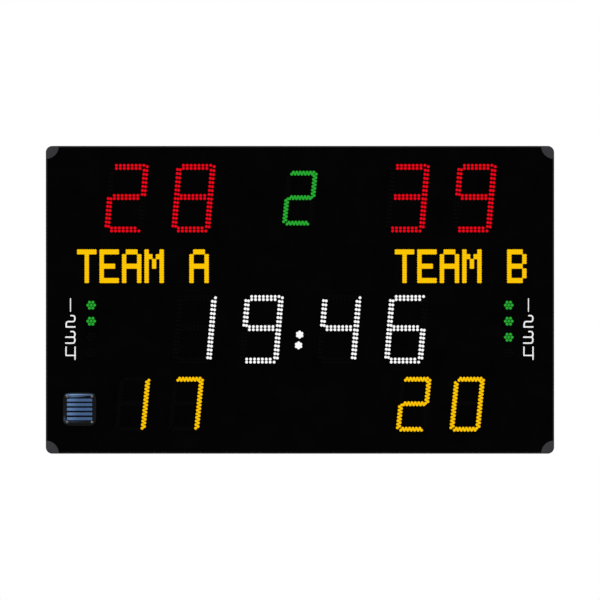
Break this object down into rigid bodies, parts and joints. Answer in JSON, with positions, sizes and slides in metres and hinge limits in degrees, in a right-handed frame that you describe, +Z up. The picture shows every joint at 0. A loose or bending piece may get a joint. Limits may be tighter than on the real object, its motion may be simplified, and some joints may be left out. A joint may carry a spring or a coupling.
{
  "type": "water polo scoreboard",
  "caption": "Wide wall-hung electronic scoreboard: black face with LED digits and name rows in a thin rim, over a shallow cabinet whose front hinges upwards for service.",
  "frame": {"origin": "centre of the wall rail's back face, on the wall", "axes": "+X to the right of a reader, +Y into the wall, +Z up"},
  "size_m": [1.84, 0.1181, 1.114],
  "materials": {
    "sheet_black": "matt black coated sheet",
    "profile_black": "black anodised extrusion",
    "corner_grey": "moulded dark grey plastic",
    "cabinet_metal": "dark grey powder coat",
    "zinc_steel": "zinc plated",
    "bright_steel": "bright drawn stainless",
    "rubber": "matt black",
    "lamp_red": "lit red lamps",
    "lamp_white": "lit white lamps",
    "lamp_green": "lit green lamps",
    "lamp_amber": "lit amber lamps",
    "lamp_off": "unlit dark lamps",
    "print_white": "white screen print",
    "grille_black": "glossy black moulding",
    "driver_metal": "satin black",
    "circuit_green": "green solder mask",
    "device_grey": "light grey moulding",
    "nylon_black": "black nylon"
  },
  "bodies": {
    "wall": {"wall_rail": "zinc_steel"},
    "cabinet": {"back_panel": "cabinet_metal", "cabinet_top": "cabinet_metal", "cabinet_bottom": "cabinet_metal", "cabinet_left": "cabinet_metal", "cabinet_right": "cabinet_metal", "hanger_rail": "zinc_steel", "buffer_left": "rubber", "buffer_right": "rubber", "hinge_leaf_cabinet": "bright_steel", "hinge_pin": "bright_steel", "guide_rail_left": "zinc_steel", "guide_rail_right": "zinc_steel", "din_rail": "zinc_steel", "power_supply": "zinc_steel", "controller_board": "circuit_green", "breaker_body": "device_grey", "terminal_block": "device_grey", "radio_module": "device_grey", "mains_gland": "nylon_black", "data_gland": "nylon_black", "door_seal": "rubber", "lock_housing_left": "zinc_steel", "lock_housing_right": "zinc_steel", "loom_cabinet": "nylon_black"},
    "door": {"face_sheet": "sheet_black", "door_top": "profile_black", "door_bottom": "profile_black", "door_left": "profile_black", "door_right": "profile_black", "corner_top_left": "corner_grey", "corner_top_right": "corner_grey", "corner_bottom_left": "corner_grey", "corner_bottom_right": "corner_grey", "hinge_leaf_door": "bright_steel", "score_board_home": "lamp_red", "score_board_guest": "lamp_red", "clock_board": "lamp_white", "period_board": "lamp_green", "penalty_board_left": "lamp_amber", "penalty_board_right": "lamp_amber", "name_board_left": "lamp_amber", "name_board_right": "lamp_amber", "timeout_board_left": "lamp_green", "timeout_board_right": "lamp_green", "horn_grille": "grille_black", "horn_driver": "driver_metal", "grille_screw_1": "zinc_steel", "grille_screw_2": "zinc_steel", "grille_screw_3": "zinc_steel", "grille_screw_4": "zinc_steel", "stay_bracket_left": "zinc_steel", "stay_bracket_right": "zinc_steel", "lock_strike_left": "zinc_steel", "lock_strike_right": "zinc_steel"},
    "stay_left": {"stay_arm_left": "bright_steel"},
    "stay_right": {"stay_arm_right": "bright_steel"},
    "cam_left": {"lock_cam_left": "bright_steel"},
    "cam_right": {"lock_cam_right": "bright_steel"},
    "toggle": {"breaker_toggle": "nylon_black"}
  },
  "joints": [
    {"name": "lift_off", "type": "slide", "parent": "wall", "child": "cabinet", "axis": [0, 0, 1], "range_m": [0, 0.025]},
    {"name": "door_hinge", "type": "hinge", "parent": "cabinet", "child": "door", "pos_m": [0, -0.074, 0.126], "axis": [-1, 0, 0], "range_deg": [0, 70]},
    {"name": "stay_left_pivot", "type": "hinge", "parent": "door", "child": "stay_left", "pos_m": [-0.8924, -0.074, -0.124], "axis": [-1, 0, 0], "range_deg": [-140, 0]},
    {"name": "stay_right_pivot", "type": "hinge", "parent": "door", "child": "stay_right", "pos_m": [0.8924, -0.074, -0.124], "axis": [-1, 0, 0], "range_deg": [-140, 0]},
    {"name": "lock_left_turn", "type": "hinge", "parent": "cabinet", "child": "cam_left", "pos_m": [-0.55, -0.07, -0.9581], "axis": [0, 0, 1], "range_deg": [0, 90]},
    {"name": "lock_right_turn", "type": "hinge", "parent": "cabinet", "child": "cam_right", "pos_m": [0.55, -0.07, -0.9581], "axis": [0, 0, -1], "range_deg": [0, 90]},
    {"name": "toggle_turn", "type": "hinge", "parent": "cabinet", "child": "toggle", "pos_m": [0.28, -0.0659, -0.7], "axis": [1, 0, 0], "range_deg": [0, 60]}
  ],
  "couplings": [
    {"joint": "stay_left_pivot", "follows": "door_hinge", "ratio": -2},
    {"joint": "stay_right_pivot", "follows": "door_hinge", "ratio": -2}
  ]
}
